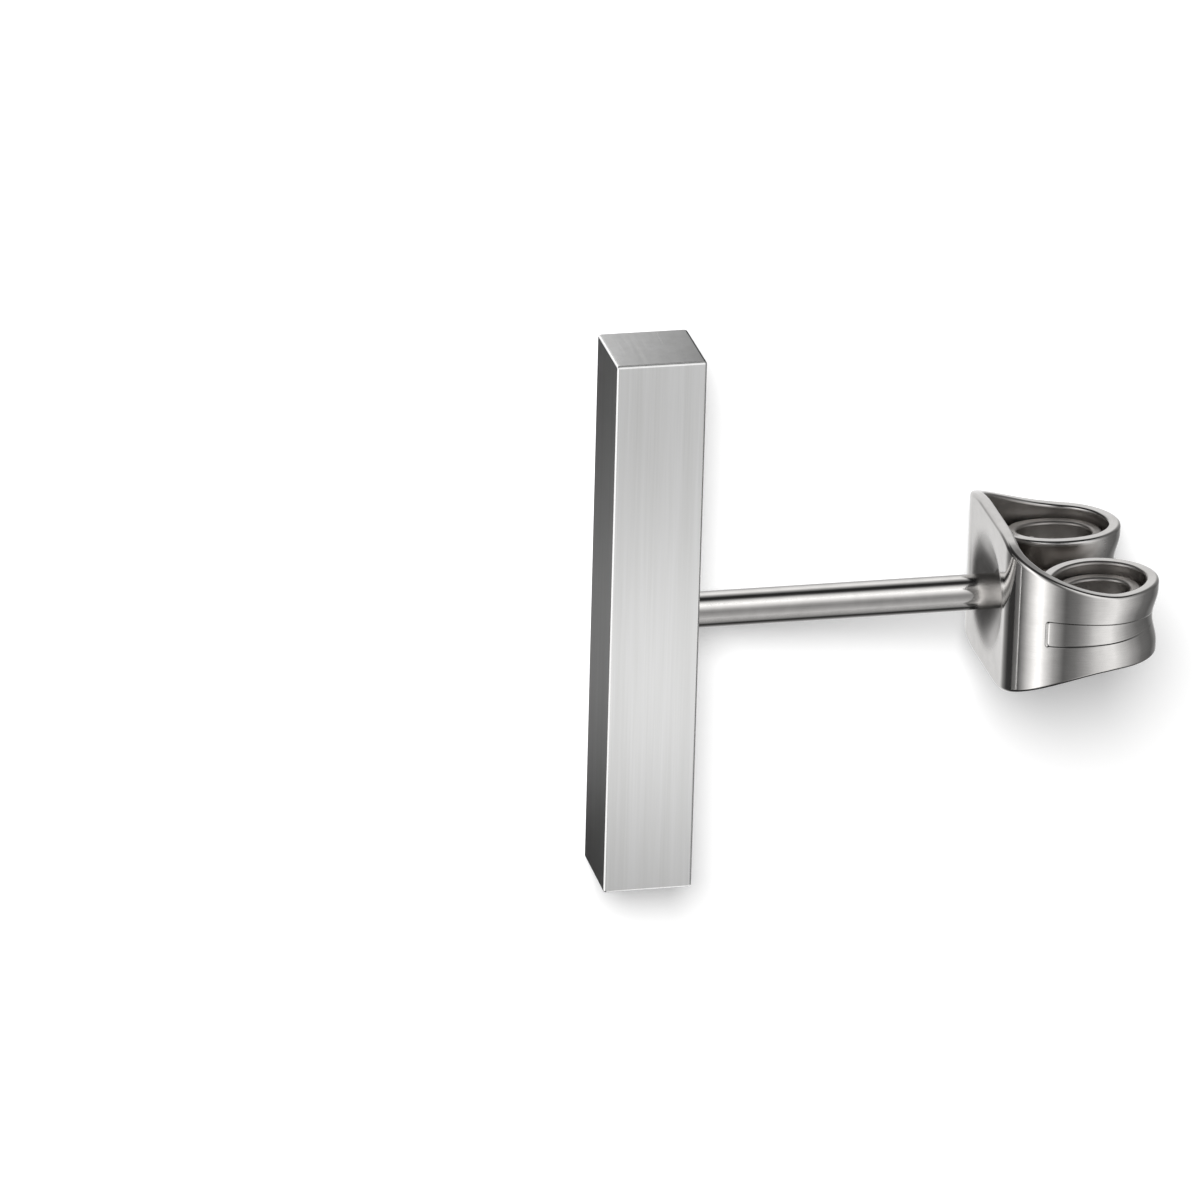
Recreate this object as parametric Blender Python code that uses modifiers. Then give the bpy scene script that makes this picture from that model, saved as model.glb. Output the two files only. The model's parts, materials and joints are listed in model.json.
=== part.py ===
# A bar stud earring in stainless steel, lying on its side with its butterfly clutch on the post.
# The stud is one solid: a square brushed bar with a post welded to the middle of its back.
# The clutch is one pressed strip: a flat plate with a dimple and a hole for the post, and on
# each side an arm that bends back and curls into a scroll beside the post.

import math

import bmesh
import bpy

# Sizes in metres. The earring's own axes start at the middle of the bar: x runs back along the
# post, y along the bar, and z towards the side that faces up where it lies.
BAR_SIDE = 0.0020
BAR_LENGTH = 0.0125
BAR_BEVEL = 0.00007

POST_DIAMETER = 0.0008
POST_LENGTH = 0.0103
POST_TIP_RADIUS = 0.00025
POST_SIDES = 24

LOBE_SPACE = 0.00672
STRIP_THICKNESS = 0.00029
CLUTCH_WIDTH = 0.0057
CLUTCH_DEPTH = 0.00347
PLATE_HALF_WIDTH = 0.0014
SHOULDER_SQUARENESS = 2.3

DIMPLE_RADIUS = 0.00125
DIMPLE_DEPTH = 0.00042
HOLE_DIAMETER = 0.0009
HOLE_SIDES = 24

SCROLL_HALF_DEPTH = 0.00142
SCROLL_PITCH = 0.00037
SCROLL_TURN = 621
SCROLL_CLEARANCE = 0.00005

# The strip's half height narrows along its length, counted from the middle of the plate.
PLATE_HALF_HEIGHT = 0.00182
ARM_HALF_HEIGHT = 0.00087
CURL_HALF_HEIGHT = 0.00063
ARM_TAPER = (0.0008, 0.0047)
CURL_TAPER = (0.0080, 0.0120)

# A shallow channel is pressed along the arm, with a squared end, and is deepest at the back.
CHANNEL_LIP = 0.00029
CHANNEL_FLOOR = 0.00020
CHANNEL_END_DEPTH = 0.00004
CHANNEL_DEPTH = 0.00011
CHANNEL_START = 0.0007
CHANNEL_FADE = (130, 200)

PLATE_COLUMNS = 8
SHOULDER_COLUMNS = 9
SCROLL_STEP = 9
EDGE_ROWS = 6

PLATE_X = BAR_SIDE / 2 + LOBE_SPACE
SCROLL_X = CLUTCH_DEPTH - SCROLL_HALF_DEPTH
SCROLL_INNER_SIDE = POST_DIAMETER / 2 + SCROLL_CLEARANCE
SCROLL_HALF_WIDTH = (CLUTCH_WIDTH / 2 - SCROLL_INNER_SIDE + SCROLL_PITCH / 2) / 2
SCROLL_Z = CLUTCH_WIDTH / 2 - SCROLL_HALF_WIDTH

MERGE_DISTANCE = 1e-6


def smooth_step(value, start, end):
    """0 before start, 1 after end, and an even S between them."""
    t = min(max((value - start) / (end - start), 0.0), 1.0)
    return t * t * (3 - 2 * t)


def clear_scene():
    for item in list(bpy.data.objects):
        bpy.data.objects.remove(item, do_unlink=True)


def new_collection(name):
    collection = bpy.data.collections.new(name)
    bpy.context.scene.collection.children.link(collection)
    return collection


def new_object(name, mesh, collection, parent):
    item = bpy.data.objects.new(name, mesh)
    collection.objects.link(item)
    item.parent = parent
    return item


def steel(name, colour, roughness):
    material = bpy.data.materials.new(name)
    material.use_nodes = True
    shader = material.node_tree.nodes["Principled BSDF"]
    shader.inputs["Base Color"].default_value = (*colour, 1)
    shader.inputs["Metallic"].default_value = 1.0
    shader.inputs["Roughness"].default_value = roughness
    return material


def as_cutter(item):
    item.hide_render = True
    item.display_type = "WIRE"
    return item


# The plan of the strip's outer face

def shoulder_point(turn):
    """The squared quarter oval from the flat plate to the arm's widest point; turn in degrees."""
    power = 2 / SHOULDER_SQUARENESS
    across = max(math.sin(math.radians(turn)), 0.0) ** power
    back = max(math.cos(math.radians(turn)), 0.0) ** power
    return (
        SCROLL_X * (1 - back),
        PLATE_HALF_WIDTH + (CLUTCH_WIDTH / 2 - PLATE_HALF_WIDTH) * across,
    )


def scroll_point(turn):
    """The curl, an oval that tightens by one pitch each turn; turn in degrees from its widest."""
    half_depth = SCROLL_HALF_DEPTH - SCROLL_PITCH * max(turn - 90, 0) / 360
    half_width = SCROLL_HALF_WIDTH - SCROLL_PITCH * turn / 360
    angle = math.radians(turn)
    return SCROLL_X + half_depth * math.sin(angle), SCROLL_Z + half_width * math.cos(angle)


def strip_plan():
    """Columns along one half of the strip, each with its place, its outward direction, its
    distance along the strip and how deep the channel is pressed there."""
    points = [(0.0, PLATE_HALF_WIDTH * n / PLATE_COLUMNS) for n in range(PLATE_COLUMNS)]
    turns = [None] * PLATE_COLUMNS
    for n in range(SHOULDER_COLUMNS):
        points.append(shoulder_point(90 * n / SHOULDER_COLUMNS))
        turns.append(None)
    for turn in range(0, SCROLL_TURN + 1, SCROLL_STEP):
        points.append(scroll_point(turn))
        turns.append(turn)

    columns = []
    along = 0.0
    for n, (x, z) in enumerate(points):
        before = points[max(n - 1, 0)]
        after = points[min(n + 1, len(points) - 1)]
        along += math.hypot(x - before[0], z - before[1])
        run = math.hypot(after[0] - before[0], after[1] - before[1])
        outward = (-(after[1] - before[1]) / run, (after[0] - before[0]) / run)
        columns.append({"x": x, "z": z, "outward": outward, "along": along, "turn": turns[n]})

    for column in columns:
        column["channel"] = channel_depth(column)
    return columns


def channel_depth(column):
    if column["x"] < CHANNEL_START or column["along"] < PLATE_HALF_WIDTH:
        return 0.0
    turn = column["turn"]
    deepening = smooth_step(column["x"], CHANNEL_START, CLUTCH_DEPTH)
    if turn is not None and turn > 90:
        deepening = 1 - smooth_step(turn, *CHANNEL_FADE)
        return CHANNEL_DEPTH * deepening
    return CHANNEL_END_DEPTH + (CHANNEL_DEPTH - CHANNEL_END_DEPTH) * deepening


def half_height(along):
    arm = smooth_step(along, *ARM_TAPER)
    curl = smooth_step(along, *CURL_TAPER)
    height = PLATE_HALF_HEIGHT + (ARM_HALF_HEIGHT - PLATE_HALF_HEIGHT) * arm
    return height + (CURL_HALF_HEIGHT - ARM_HALF_HEIGHT) * curl


def row_heights(along):
    """Heights across the strip, from its lower edge to its upper, with rows at the channel."""
    edge = half_height(along)
    upper = [CHANNEL_FLOOR, CHANNEL_LIP]
    for n in range(1, EDGE_ROWS + 1):
        upper.append(CHANNEL_LIP + (edge - CHANNEL_LIP) * n / EDGE_ROWS)
    return [-height for height in reversed(upper)] + [0.0] + upper


def dimple_depth(height, across):
    """A shallow dish with a crisp rim."""
    reach = math.hypot(height, across) / DIMPLE_RADIUS
    return max(DIMPLE_DEPTH * (1 - reach * reach), 0.0)


def strip_mesh():
    """Half of the strip's outer face, as a grid laid along the plan."""
    columns = strip_plan()
    rows = len(row_heights(0.0))
    grid = bmesh.new()
    bmesh.ops.create_grid(grid, x_segments=len(columns) - 1, y_segments=rows - 1, size=0.5)
    for vertex in grid.verts:
        column = columns[round((vertex.co.x + 0.5) * (len(columns) - 1))]
        height = row_heights(column["along"])[round((vertex.co.y + 0.5) * (rows - 1))]
        pressed = column["channel"] if abs(height) < CHANNEL_LIP else 0.0
        x = column["x"] - column["outward"][0] * pressed
        z = column["z"] - column["outward"][1] * pressed
        if column["x"] == 0.0:
            x += dimple_depth(height, column["z"])
        vertex.co = (x, height, z)
    mesh = bpy.data.meshes.new("strip")
    grid.to_mesh(mesh)
    grid.free()
    mesh.shade_smooth()
    return mesh


# Where it lies

def rest_tilt():
    """The post's slope where the bar's long edge and the lower scroll both touch the surface."""
    edge_x = -BAR_SIDE / 2 + BAR_BEVEL
    slopes = []
    for column in strip_plan():
        drop = column["z"] - BAR_SIDE / 2
        slopes.append(math.atan2(drop, PLATE_X + column["x"] - edge_x))
    return max(slopes)


def rest_place(tilt):
    """The place of the bar's middle that puts the whole earring's box over the origin."""
    half = BAR_SIDE / 2
    inner = half - BAR_BEVEL
    outline = [(-half, -inner), (-inner, -half), (inner, -half), (half, -inner)]
    outline += [(-half, inner), (-inner, half), (inner, half), (half, inner)]
    outline.append((half + POST_LENGTH, 0.0))
    for column in strip_plan():
        for side in (-1, 1):
            outline.append((PLATE_X + column["x"], side * column["z"]))
    across = [x * math.cos(tilt) - z * math.sin(tilt) for x, z in outline]
    up = [x * math.sin(tilt) + z * math.cos(tilt) for x, z in outline]
    return -(min(across) + max(across)) / 2, 0.0, -min(up)


def rest_frame():
    tilt = rest_tilt()
    frame = bpy.data.objects.new("earring_lying", None)
    bpy.context.scene.collection.objects.link(frame)
    frame.empty_display_size = BAR_SIDE
    frame.location = rest_place(tilt)
    frame.rotation_euler = (0, -tilt, 0)
    return frame


# The pieces

def post_profile():
    """The post's half outline, down its outer side from the tip to inside the bar."""
    radius = POST_DIAMETER / 2
    top = BAR_SIDE / 2 + POST_LENGTH
    points = [(0.0, top)]
    for turn in (0, 30, 60, 90):
        angle = math.radians(turn)
        points.append((
            radius - POST_TIP_RADIUS * (1 - math.sin(angle)),
            top - POST_TIP_RADIUS * (1 - math.cos(angle)),
        ))
    return points + [(radius, 0.0), (0.0, 0.0)]


def make_post(collection, parent):
    outline = bmesh.new()
    verts = [outline.verts.new((radius, 0.0, height)) for radius, height in post_profile()]
    for upper, lower in zip(verts, verts[1:]):
        outline.edges.new((upper, lower))
    mesh = bpy.data.meshes.new("post_outline")
    outline.to_mesh(mesh)
    outline.free()

    post = as_cutter(new_object("post_blank", mesh, collection, parent))
    post.rotation_euler = (0, math.radians(90), 0)
    turned = post.modifiers.new("turned", "SCREW")
    turned.steps = POST_SIDES
    turned.render_steps = POST_SIDES
    turned.use_merge_vertices = True
    turned.merge_threshold = MERGE_DISTANCE
    return post


def make_bar(collection, parent, post, material):
    box = bmesh.new()
    bmesh.ops.create_cube(box, size=1.0)
    bmesh.ops.scale(box, vec=(BAR_SIDE, BAR_LENGTH, BAR_SIDE), verts=box.verts)
    mesh = bpy.data.meshes.new("bar")
    box.to_mesh(mesh)
    box.free()

    bar = new_object("bar_and_post", mesh, collection, parent)
    bar.data.materials.append(material)
    edges = bar.modifiers.new("softened_edges", "BEVEL")
    edges.width = BAR_BEVEL
    edges.segments = 2
    weld = bar.modifiers.new("welded_post", "BOOLEAN")
    weld.operation = "UNION"
    weld.solver = "EXACT"
    weld.object = post
    return bar


def make_clutch(collection, cutters, parent, material):
    clutch = new_object("butterfly_clutch", strip_mesh(), collection, parent)
    clutch.location = (PLATE_X, 0, 0)
    clutch.data.materials.append(material)

    other_half = clutch.modifiers.new("other_half", "MIRROR")
    other_half.use_axis = (False, False, True)
    other_half.merge_threshold = MERGE_DISTANCE
    sheet = clutch.modifiers.new("strip_thickness", "SOLIDIFY")
    sheet.thickness = STRIP_THICKNESS
    sheet.offset = -1
    sheet.use_even_offset = True

    punch_mesh = bpy.data.meshes.new("punch")
    punch_shape = bmesh.new()
    bmesh.ops.create_cone(
        punch_shape, cap_ends=True, segments=HOLE_SIDES,
        radius1=HOLE_DIAMETER / 2, radius2=HOLE_DIAMETER / 2, depth=4 * DIMPLE_DEPTH,
    )
    punch_shape.to_mesh(punch_mesh)
    punch_shape.free()
    punch = as_cutter(new_object("punch", punch_mesh, cutters, parent))
    punch.location = (PLATE_X + DIMPLE_DEPTH, 0, 0)
    punch.rotation_euler = (0, math.radians(90), 0)
    hole = clutch.modifiers.new("post_hole", "BOOLEAN")
    hole.operation = "DIFFERENCE"
    hole.solver = "EXACT"
    hole.object = punch
    return clutch


def main():
    clear_scene()
    earring = new_collection("bar_earring")
    cutters = new_collection("cutters")
    frame = rest_frame()
    brushed = steel("brushed_steel", (0.58, 0.58, 0.58), 0.32)
    polished = steel("polished_steel", (0.66, 0.65, 0.64), 0.14)
    post = make_post(cutters, frame)
    make_bar(earring, frame, post, brushed)
    make_clutch(earring, cutters, frame, polished)


main()
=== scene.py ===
import json
import math

import bmesh
import bpy
from mathutils import Matrix, Vector


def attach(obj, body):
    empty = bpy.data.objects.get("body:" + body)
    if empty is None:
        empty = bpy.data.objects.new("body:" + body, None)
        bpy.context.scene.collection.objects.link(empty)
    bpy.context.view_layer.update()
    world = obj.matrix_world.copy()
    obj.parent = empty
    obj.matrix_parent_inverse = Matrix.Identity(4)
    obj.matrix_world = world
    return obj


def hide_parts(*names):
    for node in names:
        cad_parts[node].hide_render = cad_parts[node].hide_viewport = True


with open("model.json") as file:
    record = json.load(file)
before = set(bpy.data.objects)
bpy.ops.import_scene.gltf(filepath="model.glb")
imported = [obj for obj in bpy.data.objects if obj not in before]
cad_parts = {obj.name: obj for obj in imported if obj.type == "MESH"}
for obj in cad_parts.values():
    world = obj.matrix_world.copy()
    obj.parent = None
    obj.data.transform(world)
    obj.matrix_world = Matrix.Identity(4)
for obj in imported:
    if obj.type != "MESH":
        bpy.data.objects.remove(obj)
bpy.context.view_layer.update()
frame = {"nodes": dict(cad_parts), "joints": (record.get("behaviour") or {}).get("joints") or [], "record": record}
print("Loaded the frame with", ", ".join(sorted(frame["nodes"])))

mm = 0.001
degree = math.pi / 180
mergeGap = 0.001 * mm         # corners closer than this become one
noiseRange = (0.3, 0.7)       # a noise texture hardly goes past these


def smoothStep(value, start, end):
    t = min(max((value - start) / (end - start), 0.0), 1.0)
    return t * t * (3 - 2 * t)


def between(value, start, end):
    return start + (end - start) * value


# Where the earring lies. Its own axes are x back along the post, y along the bar and z towards
# the side that faces up. The slide's axis and the two mounts give them in the frame.
barSettings = {
    "side": 2.0 * mm,
    "length": 12.5 * mm,
    "edgeWidth": 0.07 * mm,
    "edgeSegments": 4,
    "edgeProfile": 0.5,
    "insideCad": 0.0015 * mm,  # a hair smaller than the solid, so that the rounder edges fit in it
}

postAxis = Vector(frame["joints"][0]["axis"]).normalized()
barAxis = Vector((0, 1, 0))
upperSide = postAxis.cross(barAxis)
restTilt = math.atan2(postAxis.z, postAxis.x)
mountPlaces = {m["name"]: Vector(m["pos_m"]) for m in frame["record"]["mounts"]}


def onPost(place):
    return Vector((place.x, 0, place.z))


barMiddle = onPost(mountPlaces["bar_back"]) - postAxis * barSettings["side"] / 2
plateFront = onPost(mountPlaces["clutch_plate"])


def toWorld(x, y, z):
    return postAxis * x + barAxis * y + upperSide * z


def lyingAt(middle):
    turn = Matrix((postAxis, barAxis, upperSide)).transposed().to_4x4()
    return Matrix.Translation(middle) @ turn


def newObject(name, mesh, place=None):
    item = bpy.data.objects.new(name, mesh)
    bpy.context.scene.collection.objects.link(item)
    if place is not None:
        item.matrix_world = place
    return item


def meshFrom(shape, name, smooth=True):
    mesh = bpy.data.meshes.new(name)
    shape.to_mesh(mesh)
    shape.free()
    if smooth:
        mesh.shade_smooth()
    return mesh


def settle(item, body, node):
    # the finished mesh lies in the frame itself, so its measured box is its true one
    bpy.context.view_layer.update()
    finished = bpy.data.meshes.new_from_object(
        item.evaluated_get(bpy.context.evaluated_depsgraph_get()))
    finished.transform(item.matrix_world)
    item.modifiers.clear()
    item.data = finished
    item.matrix_world = Matrix.Identity(4)
    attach(item, body)
    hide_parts(node)
    print("  ", item.name, "has", len(finished.polygons), "faces")


def fromHex(code):
    parts = [int(code[n:n + 2], 16) / 255 for n in (1, 3, 5)]
    linear = [c / 12.92 if c <= 0.04045 else ((c + 0.055) / 1.055) ** 2.4 for c in parts]
    return (*linear, 1.0)


def addNode(tree, kind, inputs=None, **settings):
    node = tree.nodes.new(kind)
    for name, value in settings.items():
        setattr(node, name, value)
    for name, value in (inputs or {}).items():
        if isinstance(name, str):
            # a mix node has a socket of each name for every kind of value
            socket = [i for i in node.inputs if i.name == name and i.enabled][0]
        else:
            socket = node.inputs[name]
        if isinstance(value, bpy.types.NodeSocket):
            tree.links.new(value, socket)
        else:
            socket.default_value = value
    return node


def newMaterial(name):
    material = bpy.data.materials.new(name)
    material.use_nodes = True
    material.node_tree.nodes.clear()
    return material


# Brushed stainless steel, grade 316L. The bar is drawn along an abrasive belt, so its sides carry
# fine lines along it, its front and back short slightly wavy strokes across it, and its ends
# strokes across too. The eye sees a satin grey with soft streaks. The edges are buffed after
# that, so they are smoother and catch thin bright lines.
brushedSteel = {
    "darkStroke": "#c1c1c0",
    "lightStroke": "#cecece",
    "lineWidth": 0.045, "lineLength": 5.0,      # millimetres, the lines along the sides
    "strokeWidth": 0.05, "strokeLength": 0.9,   # the strokes across the front and back
    "strokeStrength": 0.4,                      # beside the lines, which are cut deeper
    "strokeWave": 0.2,
    "endWidth": 0.05, "endLength": 1.6,         # the strokes on the two ends
    "endWave": 0.1,
    "toneWidth": 0.22, "toneLength": 9.0,       # the broader streaks under the strokes
    "toneShare": 0.5,
    "toneRange": (0.36, 0.64),                  # where the darkest and lightest tones lie
    "patchWidth": 0.3, "patchLength": 4.0,      # where the belt cut deeper
    "patchRange": (0.4, 0.65),
    "patchStrength": (0.15, 0.9),
    "roughness": (0.27, 0.37),
    "edgeRoughness": 0.2,
    "edgeFade": (0.96, 0.998),                  # how straight a point faces, edge and face
    "scratchDepth": 0.0002 * mm,
}


def earringAxes(tree, vector):
    # turns a direction or place of the frame back to the earring's own axes
    return addNode(tree, "ShaderNodeVectorRotate", {"Vector": vector, "Angle": restTilt},
                   rotation_type="Y_AXIS").outputs["Vector"]


def strokeNoise(tree, coords, size, wave=0.0):
    spread = addNode(tree, "ShaderNodeMapping", {
        "Vector": coords, "Scale": [1 / (s * mm) for s in size]})
    return addNode(tree, "ShaderNodeTexNoise", {
        "Vector": spread.outputs["Vector"], "Scale": 1.0, "Detail": 3.0,
        "Roughness": 0.6, "Distortion": wave}).outputs["Fac"]


def brushedSteelMaterial():
    s = brushedSteel
    material = newMaterial("brushed_stainless_steel")
    tree = material.node_tree
    coords = addNode(tree, "ShaderNodeTexCoord")
    facing = addNode(tree, "ShaderNodeVectorMath", {
        0: earringAxes(tree, coords.outputs["Normal"])}, operation="ABSOLUTE")
    facing = addNode(tree, "ShaderNodeSeparateXYZ", {0: facing.outputs[0]})
    place = earringAxes(tree, coords.outputs["Object"])

    lines = strokeNoise(tree, place, (s["lineWidth"], s["lineLength"], s["lineWidth"]))
    patches = strokeNoise(tree, place, (s["patchWidth"], s["patchLength"], s["patchWidth"]))
    patches = addNode(tree, "ShaderNodeMapRange", {
        "Value": patches, "From Min": s["patchRange"][0], "From Max": s["patchRange"][1],
        "To Min": s["patchStrength"][0], "To Max": s["patchStrength"][1]})
    lines = addNode(tree, "ShaderNodeMix", {
        "Factor": patches.outputs["Result"], "A": 0.5, "B": lines}).outputs["Result"]
    strokes = strokeNoise(tree, place, (1.0, s["strokeWidth"], s["strokeLength"]),
                          s["strokeWave"])
    strokes = addNode(tree, "ShaderNodeMix", {
        "Factor": s["strokeStrength"], "A": 0.5, "B": strokes}).outputs["Result"]
    ends = strokeNoise(tree, place, (s["endWidth"], 1.0, s["endLength"]), s["endWave"])
    tone = strokeNoise(tree, place, (s["toneWidth"], s["toneLength"], s["toneWidth"]))

    # which face a point is on, from its direction on the bar
    halfWay = 0.72
    onFront = addNode(tree, "ShaderNodeMath", {0: facing.outputs["X"], 1: halfWay},
                      operation="GREATER_THAN").outputs[0]
    onEnd = addNode(tree, "ShaderNodeMath", {0: facing.outputs["Y"], 1: halfWay},
                    operation="GREATER_THAN").outputs[0]
    pattern = addNode(tree, "ShaderNodeMix", {"Factor": onFront, "A": lines, "B": strokes})
    pattern = addNode(tree, "ShaderNodeMix", {
        "Factor": onEnd, "A": pattern.outputs["Result"], "B": ends}).outputs["Result"]
    mixed = addNode(tree, "ShaderNodeMix", {"Factor": s["toneShare"], "A": pattern, "B": tone})

    # buffed edges, where no axis of the bar points straight out
    straight = addNode(tree, "ShaderNodeMath", {
        0: facing.outputs["X"], 1: facing.outputs["Y"]}, operation="MAXIMUM")
    straight = addNode(tree, "ShaderNodeMath", {
        0: straight.outputs[0], 1: facing.outputs["Z"]}, operation="MAXIMUM")
    brushed = addNode(tree, "ShaderNodeMapRange", {
        "Value": straight.outputs[0], "From Min": s["edgeFade"][0],
        "From Max": s["edgeFade"][1]}).outputs["Result"]

    colour = addNode(tree, "ShaderNodeValToRGB", {"Fac": mixed.outputs["Result"]})
    stops = colour.color_ramp.elements
    for stop, at, code in zip(stops, s["toneRange"], (s["darkStroke"], s["lightStroke"])):
        stop.position = at
        stop.color = fromHex(code)
    rough = addNode(tree, "ShaderNodeMapRange", {
        "Value": pattern, "From Min": noiseRange[0], "From Max": noiseRange[1],
        "To Min": s["roughness"][0], "To Max": s["roughness"][1]})
    rough = addNode(tree, "ShaderNodeMix", {
        "Factor": brushed, "A": s["edgeRoughness"], "B": rough.outputs["Result"]})
    height = addNode(tree, "ShaderNodeMath", {0: pattern, 1: brushed}, operation="MULTIPLY")
    scratches = addNode(tree, "ShaderNodeBump", {
        "Strength": 1.0, "Distance": s["scratchDepth"], "Height": height.outputs[0]})
    shader = addNode(tree, "ShaderNodeBsdfPrincipled", {
        "Base Color": colour.outputs["Color"], "Metallic": 1.0,
        "Roughness": rough.outputs["Result"], "Normal": scratches.outputs["Normal"]})
    addNode(tree, "ShaderNodeOutputMaterial", {"Surface": shader.outputs["BSDF"]})
    return material


# Polished stainless steel, grade 316L. The clutch is pressed from strip and tumbled bright, and
# the post is drawn wire, so both mirror the studio in a slightly soft way, with hairline
# scratches that only the brightest reflections show. Tumbling hardly reaches inside the scrolls,
# where the strip stays rougher, and there its colour is darkened towards a warm grey as painted
# shade for the recess.
polishedSteel = {
    "darkSteel": "#cdcbc9",
    "lightSteel": "#d9d7d5",
    # the warm dark grey that the scrolls' insides and inner rims are darkened towards, as painted shade
    "dullShadedSteel": "#96908b",
    "toneRange": (0.35, 0.65),
    "cloudSize": 0.5,                          # millimetres, the uneven shine left by tumbling
    "cloudWave": 0.2,
    "hairWidth": 0.02, "hairLength": 0.35,     # hairline scratches, drawn wider than the real ones
    "hairWave": 0.6,
    "hairShare": 0.4,
    "roughness": (0.07, 0.12),
    "dullRoughness": (0.33, 0.39),
    "insideDullAndShade": 0.72,                    # of the strip's inner face, 1 at the most; above the half way it also darkens the colour as painted shade
    "roughThenShade": 0.5,                           # rougher up to here, and darker from here as painted shade
    "hairDepth": 0.00012 * mm,
}


def polishedSteelMaterial(name, dullAndShadedEverywhere=False):
    s = polishedSteel
    material = newMaterial(name)
    tree = material.node_tree
    coords = addNode(tree, "ShaderNodeTexCoord")
    place = earringAxes(tree, coords.outputs["Object"])
    clouds = strokeNoise(tree, place, (s["cloudSize"],) * 3, s["cloudWave"])
    hairs = strokeNoise(tree, place, (s["hairLength"], s["hairWidth"], s["hairLength"]),
                        s["hairWave"])
    uneven = addNode(tree, "ShaderNodeMix", {
        "Factor": s["hairShare"], "A": clouds, "B": hairs})
    dull = s["insideDullAndShade"]
    if not dullAndShadedEverywhere:
        dull = addNode(tree, "ShaderNodeAttribute", attribute_name="dull").outputs["Fac"]
    colour = addNode(tree, "ShaderNodeValToRGB", {"Fac": uneven.outputs["Result"]})
    stops = colour.color_ramp.elements
    for stop, at, code in zip(stops, s["toneRange"], (s["darkSteel"], s["lightSteel"])):
        stop.position = at
        stop.color = fromHex(code)
    # less tumbling leaves the steel rougher first; past that the colour is darkened as painted shade
    rougher = addNode(tree, "ShaderNodeMapRange", {
        "Value": dull, "From Max": s["roughThenShade"]}).outputs["Result"]
    paintedShade = addNode(tree, "ShaderNodeMapRange", {
        "Value": dull, "From Min": s["roughThenShade"]}).outputs["Result"]
    colour = addNode(tree, "ShaderNodeMix", {
        "Factor": paintedShade, "A": colour.outputs["Color"], "B": fromHex(s["dullShadedSteel"])},
        data_type="RGBA").outputs
    colour = [output for output in colour if output.enabled][0]
    rough = addNode(tree, "ShaderNodeMapRange", {
        "Value": uneven.outputs["Result"],
        "From Min": noiseRange[0], "From Max": noiseRange[1],
        "To Min": s["roughness"][0], "To Max": s["roughness"][1]})
    dullRough = addNode(tree, "ShaderNodeMapRange", {
        "Value": uneven.outputs["Result"],
        "From Min": noiseRange[0], "From Max": noiseRange[1],
        "To Min": s["dullRoughness"][0], "To Max": s["dullRoughness"][1]})
    rough = addNode(tree, "ShaderNodeMix", {
        "Factor": rougher, "A": rough.outputs["Result"], "B": dullRough.outputs["Result"]})
    scratches = addNode(tree, "ShaderNodeBump", {
        "Strength": 1.0, "Distance": s["hairDepth"], "Height": hairs})
    shader = addNode(tree, "ShaderNodeBsdfPrincipled", {
        "Base Color": colour, "Metallic": 1.0,
        "Roughness": rough.outputs["Result"], "Normal": scratches.outputs["Normal"]})
    addNode(tree, "ShaderNodeOutputMaterial", {"Surface": shader.outputs["BSDF"]})
    return material


brushedFinish = brushedSteelMaterial()
polishedFinish = polishedSteelMaterial("polished_stainless_steel")
# the strip's inner face: rougher steel whose colour is darkened as painted shade
insideDullShadedFinish = polishedSteelMaterial("dull_shaded_stainless_steel", dullAndShadedEverywhere=True)
print("Mixed the brushed and the polished steel")


def makeBar():
    s = barSettings
    side = s["side"] - 2 * s["insideCad"]
    length = s["length"] - 2 * s["insideCad"]
    shape = bmesh.new()
    bmesh.ops.create_cube(shape, size=1.0)
    bmesh.ops.scale(shape, vec=(side, length, side), verts=shape.verts)
    bar = newObject("brushed_bar", meshFrom(shape, "brushed_bar"), lyingAt(barMiddle))
    bar.data.materials.append(brushedFinish)
    edges = bar.modifiers.new("buffed_edges", "BEVEL")
    edges.width = s["edgeWidth"]
    edges.segments = s["edgeSegments"]
    edges.profile = s["edgeProfile"]
    edges.harden_normals = True
    settle(bar, "stud", "bar_and_post")


makeBar()
print("Cut and brushed the bar")


postSettings = {
    "radius": 0.4 * mm,
    "length": 10.3 * mm,       # from the bar's back to the tip
    "tipRadius": 0.25 * mm,
    "tipSteps": 8,
    "weldDepth": 0.1 * mm,     # how far its foot goes into the bar
    "footRing": 0.01 * mm,     # a second ring this far from the foot keeps its corner crisp
    "sides": 96,
}


def makePost():
    s = postSettings
    foot = barSettings["side"] / 2 - s["weldDepth"]
    tip = barSettings["side"] / 2 + s["length"]
    outline = [(0.0, tip)]
    for n in range(s["tipSteps"] + 1):
        turn = math.pi / 2 * n / s["tipSteps"]
        outline.append((s["radius"] - s["tipRadius"] * (1 - math.sin(turn)),
                        tip - s["tipRadius"] * (1 - math.cos(turn))))
    outline += [(s["radius"], foot + s["footRing"]), (s["radius"], foot), (0.0, foot)]
    shape = bmesh.new()
    corners = [shape.verts.new((radius, 0, height)) for radius, height in outline]
    for upper, lower in zip(corners, corners[1:]):
        shape.edges.new((upper, lower))
    bmesh.ops.rotate(shape, verts=shape.verts, cent=(0, 0, 0),
                     matrix=Matrix.Rotation(math.pi / 2, 3, "Y"))
    post = newObject("post", meshFrom(shape, "post"), lyingAt(barMiddle))
    post.data.materials.append(polishedFinish)
    turned = post.modifiers.new("turned", "SCREW")
    turned.axis = "X"
    turned.steps = s["sides"]
    turned.render_steps = s["sides"]
    turned.use_merge_vertices = True
    turned.merge_threshold = mergeGap
    turned.use_smooth_shade = True
    settle(post, "stud", "bar_and_post")


makePost()
print("Turned the post")


# The clutch: one pressed strip. Its plan is drawn in millimetres, x back from the plate's front
# and z sideways, along the strip's outer face from the middle of the plate to the curl's end.

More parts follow.
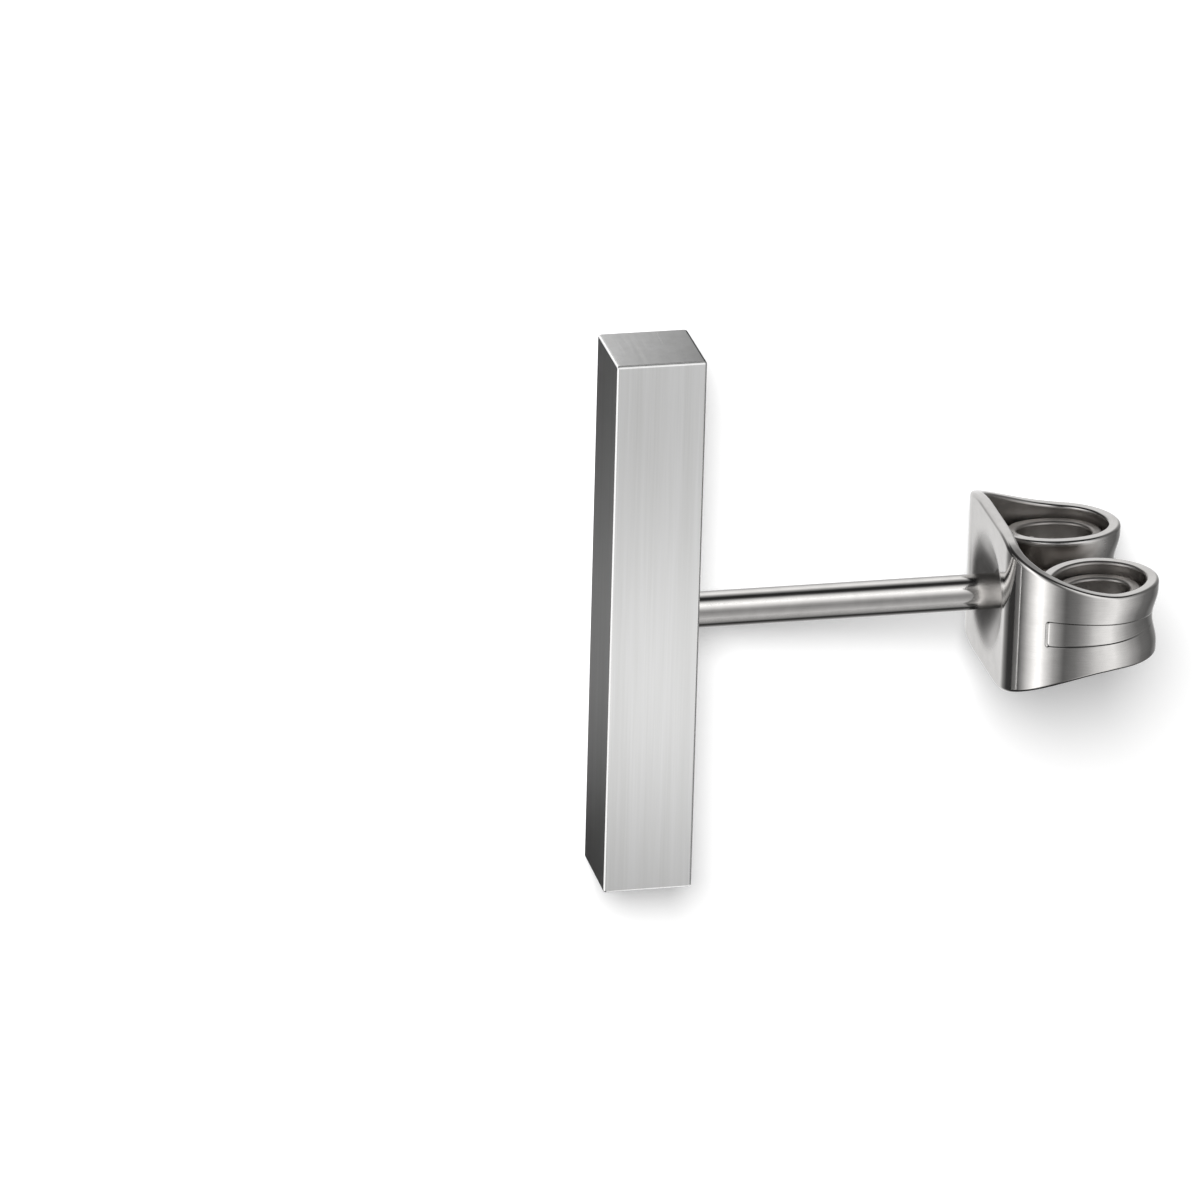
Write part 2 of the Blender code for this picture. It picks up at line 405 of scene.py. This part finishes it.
clutchSettings = {
    "thickness": 0.29,
    "halfWidth": 2.85,
    "depth": 3.47,
    "plateHalfWidth": 1.4,
    "shoulderSquareness": 2.3,
    "curlHalfDepth": 1.42,
    "curlPitch": 0.37,
    "curlTurn": 621,
    "postGap": 0.45,              # from the post's axis to the curl
    "plateHalfHeight": 1.82,
    "armHalfHeight": 0.87,
    "curlHalfHeight": 0.63,
    "armTaper": (0.8, 4.7),       # where along the strip it narrows to the arm
    "curlTaper": (8.0, 12.0),
    "dimpleRadius": 1.1,
    "dimpleDepth": 0.42,
    "dimpleRim": 0.17,            # how far the dimple's rim is rounded over
    "holeRadius": 0.45,
    "holeRings": 9,               # rows of the sheet from the hole's middle to its edge
    "ringFade": (0.75, 1.35),     # where the rings round the hole turn into straight rows
    "plateColumns": 16,           # from the hole's edge to the shoulder
    "outerRows": 14,              # from the channel or the hole to the strip's edge
    "rowChange": (-1.2, -0.2),    # before the channel, where its rows take over
    "shoulderStep": 2.5,          # degrees from column to column
    "curlStep": 3,
    "rimWidth": 0.085,
    "rimSegments": 3,
    "rimAngle": 80,               # only corners sharper than this are rounded
    "rimRoom": 0.13,              # the room that a rounded rim needs beside its edge
    "endRoom": 12,                # and at the curl's end, in degrees
    "nearEdge": 0.01,
    "insideCad": 0.004,           # the finer curve lies this much inside the solid's
    "dullAndShadeFrom": (110, 190),       # degrees round the curl, where the polish fades out and painted shade darkens the curl's inside
    # further round the curl the rims turn rougher too, and are darkened as painted shade
    "rimDullAndShadeFrom": (230, 300),
    "rimDullAndShade": 0.8,
    "dimpleDullness": 0.5,
    "dimpleDullFade": (1.0, 1.4),  # in dimple radii, where the polish comes back
}

# The channel pressed along each arm: a crisp squared end and crisp sides that run together and
# fade out, over a wide soft hollow that is deepest round the back.
channelSettings = {
    "start": 0.7,                 # its squared end, behind the plate's front
    "startHalfWidth": 0.29,
    "endHalfWidth": 0.13,
    "narrowsOver": 3.0,
    "narrowsBy": 1.3,             # above 1 it narrows late
    "middleRow": 0.3,             # of the half width
    "sideRows": (-0.08, -0.055, -0.035, -0.02, -0.008, 0.004, 0.016, 0.03),
    "endColumns": (-3.5, -2, -1.2, -0.8, -0.4, 0, 0.4, 0.8, 1.2, 1.8, 2.6, 4),  # degrees
    "endSpace": 5,                # degrees free of other columns on both sides of the end
    "stepDepth": 0.035,
    "stepWidth": 0.04,
    "grooveDepth": 0.004,          # the punch's edge cuts a little deeper round the channel
    "cornerRadius": 0.06,
    "stepFade": (25, 70),         # degrees round the curl
    "hollowDepth": 0.11,
    "hollowHalfWidth": 0.66,
    "hollowStart": 1.6,
    "hollowFade": (130, 200),
}

curlMiddleX = clutchSettings["depth"] - clutchSettings["curlHalfDepth"]
curlHalfWidth = (clutchSettings["halfWidth"] - clutchSettings["postGap"]
                 + clutchSettings["curlPitch"] / 2) / 2
curlMiddleZ = clutchSettings["halfWidth"] - curlHalfWidth


def shoulderPoint(turn):
    s = clutchSettings
    power = 2 / s["shoulderSquareness"]
    across = max(math.sin(turn * degree), 0.0) ** power
    back = max(math.cos(turn * degree), 0.0) ** power
    return (curlMiddleX * (1 - back),
            s["plateHalfWidth"] + (s["halfWidth"] - s["plateHalfWidth"]) * across)


def curlPoint(turn):
    s = clutchSettings
    halfDepth = s["curlHalfDepth"] - s["curlPitch"] * max(turn - 90, 0) / 360
    halfWidth = curlHalfWidth - s["curlPitch"] * turn / 360
    return (curlMiddleX + halfDepth * math.sin(turn * degree),
            curlMiddleZ + halfWidth * math.cos(turn * degree))


def stripColumns():
    s = clutchSettings
    power = 2 / s["shoulderSquareness"]
    startTurn = math.acos((1 - channelSettings["start"] / curlMiddleX) ** (1 / power)) / degree
    quarter = [s["shoulderStep"] * n for n in range(round(90 / s["shoulderStep"]))]
    shoulderTurns = [turn for turn in quarter
                     if abs(turn - startTurn) > channelSettings["endSpace"]]
    shoulderTurns += [startTurn + turn for turn in channelSettings["endColumns"]]
    plateZ = [s["holeRadius"] * n / s["holeRings"] for n in range(s["holeRings"] + 1)]
    plateZ += [between(n / s["plateColumns"], s["holeRadius"] + s["rimRoom"],
                       s["plateHalfWidth"]) for n in range(s["plateColumns"])]
    # each point is x, z and its turn round the curl, which the plate and shoulder don't have
    points = [(0.0, z, None) for z in plateZ]
    points += [(*shoulderPoint(turn), None) for turn in sorted(shoulderTurns)]
    # the last column stands apart, to leave room for the end's rounded rim
    curlTurns = list(range(0, s["curlTurn"] - s["endRoom"], s["curlStep"])) + [s["curlTurn"]]
    points += [(*curlPoint(turn), turn) for turn in curlTurns]

    columns = []
    along = 0.0
    for n, (x, z, turn) in enumerate(points):
        before = points[max(n - 1, 0)]
        after = points[min(n + 1, len(points) - 1)]
        along += math.hypot(x - before[0], z - before[1])
        run = math.hypot(after[0] - before[0], after[1] - before[1])
        columns.append({
            "x": x, "z": z, "along": along, "turn": turn,
            "outX": -(after[1] - before[1]) / run, "outZ": (after[0] - before[0]) / run})
    beforeCurl = [column for column in columns if column["turn"] is None]
    first = min(beforeCurl, key=lambda column: abs(column["x"] - channelSettings["start"]))
    for column in columns:
        column["pastStart"] = column["along"] - first["along"]
    return columns


def halfHeight(along):
    s = clutchSettings
    height = between(smoothStep(along, *s["armTaper"]), s["plateHalfHeight"], s["armHalfHeight"])
    return height + (s["curlHalfHeight"] - s["armHalfHeight"]) * smoothStep(along, *s["curlTaper"])


def channelHalfWidth(column):
    c = channelSettings
    run = min(max(column["pastStart"] / c["narrowsOver"], 0.0), 1.0)
    return between(run ** c["narrowsBy"], c["startHalfWidth"], c["endHalfWidth"])


def rowHeights(column):
    s = clutchSettings
    c = channelSettings
    edge = halfHeight(column["along"])
    inner = edge - s["rimRoom"]
    outer = s["outerRows"]
    # the rows crowd beside the channel on the arm, and run round the hole in the plate
    lip = channelHalfWidth(column)
    onArm = [lip * c["middleRow"]] + [lip + aside for aside in c["sideRows"]]
    onArm += [between((n + 1) / outer, lip + c["sideRows"][-1], inner) for n in range(outer)]
    onPlate = [s["holeRadius"] * n / s["holeRings"] for n in range(1, s["holeRings"] + 1)]
    onPlate += [between(n / (outer - 1), s["holeRadius"] + s["rimRoom"], inner)
                for n in range(outer)]
    armShare = smoothStep(column["pastStart"], *s["rowChange"])
    upper = [between(armShare, *pair) for pair in zip(onPlate, onArm)] + [edge]
    return [-height for height in reversed(upper)] + [0.0] + upper


def roundTheHole(height, z):
    # bends the plate's rows and columns into rings, and leaves them straight near its edges
    square = max(abs(height), abs(z))
    straight = smoothStep(square, *clutchSettings["ringFade"])
    share = between(straight, square / math.hypot(height, z), 1.0)
    return height * share, z * share


def pressedDepth(column, height):
    c = channelSettings
    turn = column["turn"] or 0
    if column["along"] < clutchSettings["plateHalfWidth"]:
        return 0.0
    # distance outside the channel's rounded outline
    radius = c["cornerRadius"]
    ahead = radius - column["pastStart"]
    aside = abs(height) - channelHalfWidth(column) + radius
    outside = (math.hypot(max(ahead, 0.0), max(aside, 0.0))
               + min(max(ahead, aside), 0.0) - radius)
    step = c["stepDepth"] * (1 - smoothStep(outside, -c["stepWidth"] / 2, c["stepWidth"] / 2))
    step += c["grooveDepth"] * math.exp(-((outside / c["stepWidth"] + 0.5) * 2) ** 2)
    step *= 1 - smoothStep(turn, *c["stepFade"])
    hollow = c["hollowDepth"] * smoothStep(column["x"], c["hollowStart"], clutchSettings["depth"])
    if turn > 90:
        hollow = c["hollowDepth"] * (1 - smoothStep(turn, *c["hollowFade"]))
    reach = min(abs(height) / c["hollowHalfWidth"], 1.0)
    return step + hollow * math.cos(math.pi / 2 * reach) ** 2


def dimpleAt(reach):
    # a shallow dish whose rim is rounded over into the flat plate
    s = clutchSettings
    dish = s["dimpleDepth"] * (1 - (reach / s["dimpleRadius"]) ** 2)
    soft = s["dimpleRim"] * s["dimpleDepth"] / s["dimpleRadius"]
    return (dish + math.sqrt(dish * dish + 4 * soft * soft)) / 2


def stripMesh():
    s = clutchSettings
    columns = stripColumns()
    rows = len(rowHeights(columns[0]))
    grid = bmesh.new()
    bmesh.ops.create_grid(grid, x_segments=len(columns) - 1, y_segments=rows - 1, size=0.5)
    dull = grid.verts.layers.float.new("dull")
    punchedOut = []
    for corner in grid.verts:
        column = columns[round((corner.co.x + 0.5) * (len(columns) - 1))]
        height = rowHeights(column)[round((corner.co.y + 0.5) * (rows - 1))]
        z = column["z"]
        inPlate = column["x"] == 0.0
        if inPlate and max(abs(height), z) < s["holeRadius"] - s["nearEdge"]:
            punchedOut.append(corner)
            continue
        if inPlate:
            height, z = roundTheHole(height, z)
        inwards = pressedDepth(column, height) + s["insideCad"]
        x = column["x"] - column["outX"] * inwards
        z -= column["outZ"] * inwards
        if inPlate:
            x += dimpleAt(math.hypot(height, z))
        corner.co = Vector((x, height, z)) * mm
        # rougher steel and painted shade inside the curl and on its inner rims; the free rims stay bright
        turn = column["turn"] or 0
        corner[dull] = smoothStep(turn, *s["dullAndShadeFrom"])
        if abs(height) > halfHeight(column["along"]) - s["nearEdge"]:
            corner[dull] = s["rimDullAndShade"] * smoothStep(turn, *s["rimDullAndShadeFrom"])
        if inPlate:
            reach = math.hypot(height, z) / s["dimpleRadius"]
            corner[dull] = s["dimpleDullness"] * (1 - smoothStep(reach, *s["dimpleDullFade"]))
    bmesh.ops.delete(grid, geom=punchedOut, context="VERTS")
    return meshFrom(grid, "clutch_strip")


def makeClutch():
    s = clutchSettings
    clutch = newObject("clutch_strip", stripMesh(), lyingAt(plateFront))
    clutch.data.materials.append(polishedFinish)
    clutch.data.materials.append(insideDullShadedFinish)
    otherHalf = clutch.modifiers.new("other_half", "MIRROR")
    otherHalf.use_axis = (False, False, True)
    otherHalf.merge_threshold = mergeGap
    sheet = clutch.modifiers.new("sheet_thickness", "SOLIDIFY")
    sheet.thickness = (s["thickness"] - s["insideCad"]) * mm
    sheet.offset = -1
    sheet.use_even_offset = True
    sheet.material_offset = 1     # the strip's inner face, rougher and darkened as painted shade
    rims = clutch.modifiers.new("rounded_rims", "BEVEL")
    rims.width = s["rimWidth"] * mm
    rims.segments = s["rimSegments"]
    rims.limit_method = "ANGLE"
    rims.angle_limit = s["rimAngle"] * degree
    rims.use_clamp_overlap = False
    rims.harden_normals = True
    settle(clutch, "clutch", "butterfly_clutch")


makeClutch()
print("Pressed and curled the clutch")


# The camera keeps the photograph's angle to the earring itself: turned a little towards the
# bar's front and lifted towards its upper end.

cameraSettings = {
    "turn": 13 * degree,
    "lift": 23 * degree,
    "lean": 1.5 * degree,          # the picture turns clockwise by this
    "lens": 270,
    "sensor": 36,
    "pixelsPerMm": 45.6,
    "picture": 1200,
    "barMiddleAt": (645, 613),     # where the bar's middle stands in the picture
}


def makeCamera():
    s = cameraSettings
    towards = toWorld(-math.sin(s["turn"]) * math.cos(s["lift"]), math.sin(s["lift"]),
                      math.cos(s["turn"]) * math.cos(s["lift"])).normalized()
    right = barAxis.cross(towards).normalized()
    up = towards.cross(right)
    leaningRight = right * math.cos(s["lean"]) + up * math.sin(s["lean"])
    leaningUp = up * math.cos(s["lean"]) - right * math.sin(s["lean"])
    pixel = mm / s["pixelsPerMm"]
    centre = (barMiddle - leaningRight * (s["barMiddleAt"][0] - s["picture"] / 2) * pixel
              + leaningUp * (s["barMiddleAt"][1] - s["picture"] / 2) * pixel)
    distance = s["picture"] * pixel * s["lens"] / s["sensor"]

    camera = bpy.data.objects.new("camera", bpy.data.cameras.new("camera"))
    bpy.context.scene.collection.objects.link(camera)
    camera.data.lens = s["lens"]
    camera.data.sensor_width = s["sensor"]
    camera.data.clip_start = 1 * mm
    camera.data.clip_end = 5.0
    turn = Matrix((leaningRight, leaningUp, towards)).transposed().to_4x4()
    camera.matrix_world = Matrix.Translation(centre + towards * distance) @ turn
    bpy.context.scene.camera = camera


makeCamera()
print("Set up the camera")


# The studio: a white light table with a lamp above, and a light tent or light panels round each
# piece. A tent or panel is mirrored by its own piece alone, and lights nothing else.

studioSettings = {
    "floorSize": 1.6,
    "floorGap": 0.002 * mm,       # under the earring, so that the two don't flicker
    "floorColour": "#e6e6e6",
    "floorGrain": 0.4,            # millimetres, the fine unevenness of the acrylic sheet
    "floorRoughness": (0.7, 0.9),
    "floorGlow": 0.37,            # what the table gives off by itself
    "floorLamp": 2.0,             # watts
    "floorLampSize": 0.18,
    "floorLampAt": (-0.15, 0.2, 0.28),
    "backdropRadius": 1.2,
    "surroundings": 0.02,
    "brightest": 2.0,             # the brightest tone that a tent or panel can give
}

# Degrees and tone, round the bar's direction from straight above towards the bar for the clutch,
# and round the post from straight above towards the bar's upper end for the post.
lightTents = {
    "clutch_tent": {
        "only": "clutch_strip", "radius": 0.3, "round": ("X", -1, "Z"), "ends": "Y",
        "darkEnd": (0.7, 0.85, 0.05),
        "tones": ((-180, 0.85), (-160, 0.88), (-138, 0.3), (-113, 0.12), (-85, 0.18),
                  (-65, 0.42), (-49, 0.75), (-33, 1.18), (-20, 1.1), (-11, 0.82), (-6, 0.56),
                  (-1, 0.38), (5, 0.22), (17, 0.12), (28, 0.45), (40, 1.05), (50, 1.7),
                  (58, 1.5), (66, 1.1), (82, 0.45), (95, 0.1), (110, 0.02), (133, 0.03),
                  (147, 0.25), (160, 0.8), (167, 0.86), (180, 0.85))},
    "post_tent": {
        "only": "post", "radius": 0.35, "round": ("Y", 1, "Z"), "ends": "X",
        "darkEnd": (0.8, 0.98, 0.4),
        "tones": ((-180, 0.6), (-150, 0.7), (-120, 0.3), (-100, 0.03), (-86, 0.03),
                  (-78, 0.25), (-70, 0.36),
                  (-55, 0.53), (-39, 0.68), (-25, 0.52), (-12, 0.4), (1.5, 0.33), (14, 0.47),
                  (20, 0.66), (27, 0.9), (46, 1.6), (59, 1.2), (71, 0.5), (78, 0.1),
                  (84, 0.01), (98, 0.01), (110, 0.33), (129, 1.25), (150, 1.0), (170, 0.5),
                  (180, 0.6))},
}

# Light panels round the bar, in millimetres from its middle: where each stands, the way it
# faces, its size, how much of it fades out, and its tones at places along its second side.
barPanels = {
    "over_side": {"at": (3, -3, 12), "facing": "Z", "size": (30, 38), "soft": 0.2,
                  "tones": ((-13, 0.6), (-11.3, 0.68), (-10.4, 0.8), (-9.4, 1.05), (-7.1, 1.45),
                            (-4.7, 1.32), (-2.3, 1.0), (0, 0.78), (3, 0.75), (8, 1.6),
                            (14, 1.8))},
    "under_front": {"at": (-6, -7, -12), "facing": "Z", "size": (18, 22), "soft": 0.2,
                    "tones": ((-14, 0.0), (-11.3, 0.0), (-10.4, 0.03), (-9.4, 0.12),
                              (-7.1, 0.22), (-4.7, 0.22), (-2.3, 0.14), (0, 0.08),
                              (1.5, 0.06))},
    "under_end": {"at": (0, 12, -12), "facing": "Z", "size": (14, 12), "soft": 0.9,
                  "tones": ((6, 1.18), (18, 1.18))},
    "beside_end": {"at": (-8.5, 9, -12), "facing": "Z", "size": (13, 10), "soft": 0.4,
                   "tones": ((4, 1.7), (14, 1.7))},
    "beside_front": {"at": (-12, -6, 4), "facing": "X", "size": (20, 40), "soft": 0.25,
                     "tones": ((-26, 1.8), (14, 1.8))},
    "beside_back": {"at": (12, -6, 3), "facing": "X", "size": (16, 40), "soft": 0.3,
                    "tones": ((-26, 0.3), (14, 0.3))},
    "beside_far": {"at": (-14, 13, -6), "facing": "X", "size": (16, 16), "soft": 0.4,
                   "tones": ((5, 0.9), (21, 0.9))},
    "under_below": {"at": (13, -22, -6), "facing": "Y", "size": (44, 14), "soft": 0.4,
                    "tones": ((-13, 0.6), (1, 0.6))},
    "under_back": {"at": (15, -3, -12), "facing": "Z", "size": (16, 34), "soft": 0.4,
                   "tones": ((-20, 0.6), (14, 0.6))},
    "beyond": {"at": (0, 16, 9), "facing": "Y", "size": (30, 12), "soft": 0.4,
               "tones": ((3, 1.2), (15, 1.2))},
    "beyond_below": {"at": (13, 22, -6), "facing": "Y", "size": (44, 14), "soft": 0.4,
                     "tones": ((-13, 0.6), (1, 0.6))},
    "below": {"at": (9, -17, 4), "facing": "Y", "size": (20, 16), "soft": 0.3,
              "tones": ((-4, 1.4), (12, 1.4))},
}


def showOnly(item, camera=False, glossy=False):
    item.visible_camera = camera
    item.visible_glossy = glossy
    item.visible_diffuse = False
    item.visible_transmission = False
    item.visible_volume_scatter = False
    item.visible_shadow = False


def cardMesh(name, width, height):
    shape = bmesh.new()
    bmesh.ops.create_grid(shape, x_segments=1, y_segments=1, size=0.5)
    bmesh.ops.scale(shape, vec=(width, height, 1), verts=shape.verts)
    return meshFrom(shape, name, smooth=False)


def glowMaterial(name, makeTone):
    material = newMaterial(name)
    tree = material.node_tree
    coords = addNode(tree, "ShaderNodeTexCoord").outputs["Object"]
    tone = addNode(tree, "ShaderNodeMath", {
        0: makeTone(tree, coords), 1: studioSettings["brightest"]}, operation="MULTIPLY")
    light = addNode(tree, "ShaderNodeEmission", {
        "Color": (1, 1, 1, 1), "Strength": tone.outputs[0]})
    clear = addNode(tree, "ShaderNodeBsdfTransparent")
    both = addNode(tree, "ShaderNodeAddShader", {0: clear.outputs[0], 1: light.outputs[0]})
    addNode(tree, "ShaderNodeOutputMaterial", {"Surface": both.outputs[0]})
    return material


def toneRamp(tree, value, start, end, tones):
    along = addNode(tree, "ShaderNodeMapRange", {
        "Value": value, "From Min": start, "From Max": end}).outputs["Result"]
    ramp = addNode(tree, "ShaderNodeValToRGB", {"Fac": along})
    stops = ramp.color_ramp.elements
    while len(stops) < len(tones):
        stops.new(1.0)
    for stop, (place, tone) in zip(stops, tones):
        stop.position = (place - start) / (end - start)
        stop.color = (*[tone / studioSettings["brightest"]] * 3, 1)
    return ramp.outputs["Color"]


def lightOnly(card, piece):
    showOnly(card, glossy=True)
    lit = bpy.data.collections.new(card.name + "_lights")
    lit.objects.link(bpy.data.objects[piece])
    card.light_linking.receiver_collection = lit


def makeTent(name, tent):
    def makeTone(tree, coords):
        towards = addNode(tree, "ShaderNodeVectorMath", {0: coords}, operation="NORMALIZE")
        towards = addNode(tree, "ShaderNodeSeparateXYZ", {0: towards.outputs[0]}).outputs
        first, sign, second = tent["round"]
        across = addNode(tree, "ShaderNodeMath", {
            0: towards[first], 1: sign}, operation="MULTIPLY").outputs[0]
        angle = addNode(tree, "ShaderNodeMath", {
            0: across, 1: towards[second]}, operation="ARCTAN2").outputs[0]
        angle = addNode(tree, "ShaderNodeMath", {0: angle}, operation="DEGREES").outputs[0]
        tone = toneRamp(tree, angle, -180, 180, tent["tones"])
        start, end, left = tent["darkEnd"]
        endwards = addNode(tree, "ShaderNodeMath", {0: towards[tent["ends"]]},
                           operation="ABSOLUTE")
        towardsEnd = addNode(tree, "ShaderNodeMapRange", {
            "Value": endwards.outputs[0], "From Min": start, "From Max": end,
            "To Min": 1.0, "To Max": left}, interpolation_type="SMOOTHSTEP")
        return addNode(tree, "ShaderNodeMath", {
            0: tone, 1: towardsEnd.outputs["Result"]}, operation="MULTIPLY").outputs[0]

    shape = bmesh.new()
    bmesh.ops.create_uvsphere(shape, u_segments=32, v_segments=16, radius=tent["radius"])
    card = newObject(name, meshFrom(shape, name), lyingAt(plateFront))
    card.data.materials.append(glowMaterial(name, makeTone))
    lightOnly(card, tent["only"])


def makePanel(name, panel):
    axes = {"X": (upperSide, barAxis, postAxis), "Y": (postAxis, upperSide, barAxis),
            "Z": (postAxis, barAxis, upperSide)}[panel["facing"]]
    place = toWorld(*[value * mm for value in panel["at"]])
    middle = place.dot(axes[1]) / mm
    tones = [(along - middle, tone) for along, tone in panel["tones"]]

    def makeTone(tree, coords):
        sides = addNode(tree, "ShaderNodeSeparateXYZ", {0: coords}).outputs
        reach = panel["size"][1] / 2
        along = addNode(tree, "ShaderNodeMath", {
            0: sides["Y"], 1: 1 / mm}, operation="MULTIPLY").outputs[0]
        tone = toneRamp(tree, along, -reach, reach, tones)
        for axis, size in zip("XY", panel["size"]):
            away = addNode(tree, "ShaderNodeMath", {0: sides[axis]}, operation="ABSOLUTE")
            fade = addNode(tree, "ShaderNodeMapRange", {
                "Value": away.outputs[0], "From Min": size / 2 * (1 - panel["soft"]) * mm,
                "From Max": size / 2 * mm, "To Min": 1.0, "To Max": 0.0},
                interpolation_type="SMOOTHSTEP")
            tone = addNode(tree, "ShaderNodeMath", {
                0: tone, 1: fade.outputs["Result"]}, operation="MULTIPLY").outputs[0]
        return tone

    card = newObject(name, cardMesh(name, *[size * mm for size in panel["size"]]),
                     Matrix.Translation(barMiddle + place)
                     @ Matrix(axes).transposed().to_4x4())
    card.data.materials.append(glowMaterial(name, makeTone))
    lightOnly(card, "brushed_bar")


# Opal acrylic sheet, sanded matt and lit from below, as a light table has. The eye sees an even
# pale white that takes soft shadows and mirrors nothing.
def makeFloor():
    s = studioSettings
    floor = newObject("floor", cardMesh("floor", s["floorSize"], s["floorSize"]),
                      Matrix.Translation((0, 0, -s["floorGap"])))
    material = newMaterial("matt_opal_acrylic")
    tree = material.node_tree
    coords = addNode(tree, "ShaderNodeTexCoord")
    grain = strokeNoise(tree, coords.outputs["Object"], (s["floorGrain"],) * 3)
    gloss = addNode(tree, "ShaderNodeMapRange", {
        "Value": grain, "To Min": s["floorRoughness"][0], "To Max": s["floorRoughness"][1]})
    shader = addNode(tree, "ShaderNodeBsdfPrincipled", {
        "Base Color": fromHex(s["floorColour"]), "Roughness": gloss.outputs["Result"],
        "Specular IOR Level": 0.0, "Emission Color": (1, 1, 1, 1),
        "Emission Strength": s["floorGlow"]})
    addNode(tree, "ShaderNodeOutputMaterial", {"Surface": shader.outputs["BSDF"]})
    floor.data.materials.append(material)
    floor.visible_glossy = False    # the tents and panels stand in for it in the steel


# White background paper, lit evenly, so that it has no tone of its own.
def makeBackdrop():
    shape = bmesh.new()
    bmesh.ops.create_uvsphere(shape, u_segments=32, v_segments=16,
                              radius=studioSettings["backdropRadius"])
    dome = newObject("backdrop", meshFrom(shape, "backdrop"))
    material = newMaterial("white_background_paper")
    light = addNode(material.node_tree, "ShaderNodeEmission", {"Color": (1, 1, 1, 1)})
    addNode(material.node_tree, "ShaderNodeOutputMaterial", {"Surface": light.outputs[0]})
    dome.data.materials.append(material)
    showOnly(dome, camera=True)


def makeLights():
    s = studioSettings
    lamp = bpy.data.objects.new("floor_lamp", bpy.data.lights.new("floor_lamp", "AREA"))
    bpy.context.scene.collection.objects.link(lamp)
    lamp.data.shape = "DISK"
    lamp.data.size = s["floorLampSize"]
    lamp.data.energy = s["floorLamp"]
    place = Vector(s["floorLampAt"])
    lamp.matrix_world = (Matrix.Translation(place)
                         @ place.to_track_quat("Z", "Y").to_matrix().to_4x4())
    lamp.visible_glossy = False
    lamp.visible_camera = False

    world = bpy.data.worlds.new("studio")
    bpy.context.scene.world = world
    world.use_nodes = True
    world.node_tree.nodes.clear()
    surroundings = addNode(world.node_tree, "ShaderNodeBackground", {
        "Color": (1, 1, 1, 1), "Strength": s["surroundings"]})
    addNode(world.node_tree, "ShaderNodeOutputWorld", {"Surface": surroundings.outputs[0]})
    bpy.context.scene.view_settings.view_transform = "Standard"


makeFloor()
makeBackdrop()
makeLights()
for tentName, tent in lightTents.items():
    makeTent(tentName, tent)
for panelName, panel in barPanels.items():
    makePanel(panelName, panel)
print("Built the studio")
